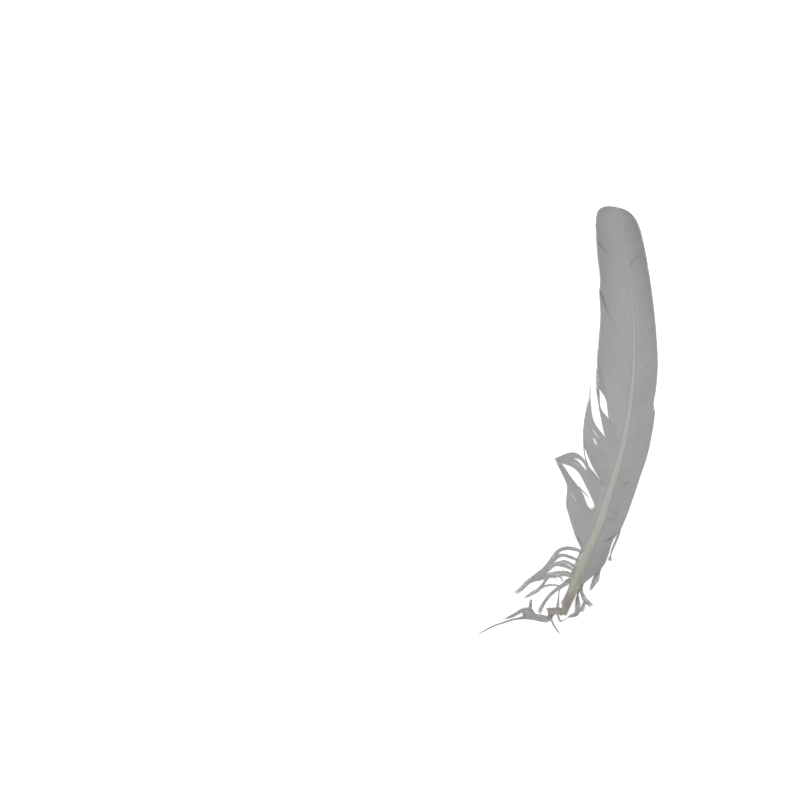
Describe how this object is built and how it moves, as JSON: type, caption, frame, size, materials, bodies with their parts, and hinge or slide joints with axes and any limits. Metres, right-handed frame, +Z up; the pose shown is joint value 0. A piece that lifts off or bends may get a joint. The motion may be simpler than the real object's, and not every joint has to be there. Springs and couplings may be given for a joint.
{
  "type": "goose quill feather",
  "caption": "Loose grey goose wing quill lying flat, with a bare quill end, a curved shaft, a narrow and a wide split vane, and wisps of down at the base.",
  "frame": {"origin": "on the surface the feather lies on, at the middle of the space it covers", "axes": "+Z up; +Y from the quill to the tip of the vane; the narrow outer vane is on the +X side"},
  "size_m": [0.0897, 0.2142, 0.0062],
  "materials": {
    "shaft_horn": "smooth translucent horn, stained brown at the torn end",
    "vane_barbs": "grey barbs, matt with a faint silky sheen along them",
    "down": "soft matted down, matt"
  },
  "bodies": {
    "root": {"shaft": "shaft_horn", "outer_vane": "vane_barbs", "inner_vane": "vane_barbs", "inner_lock_thread": "vane_barbs", "inner_lock_upper": "vane_barbs", "inner_lock_hooked": "vane_barbs", "inner_lock_lower": "vane_barbs", "outer_loose_barb": "vane_barbs", "outer_base_tuft": "down", "down_fan": "down", "down_side": "down", "down_end": "down", "down_right_upper": "down", "down_right_lower": "down"}
  },
  "joints": []
}
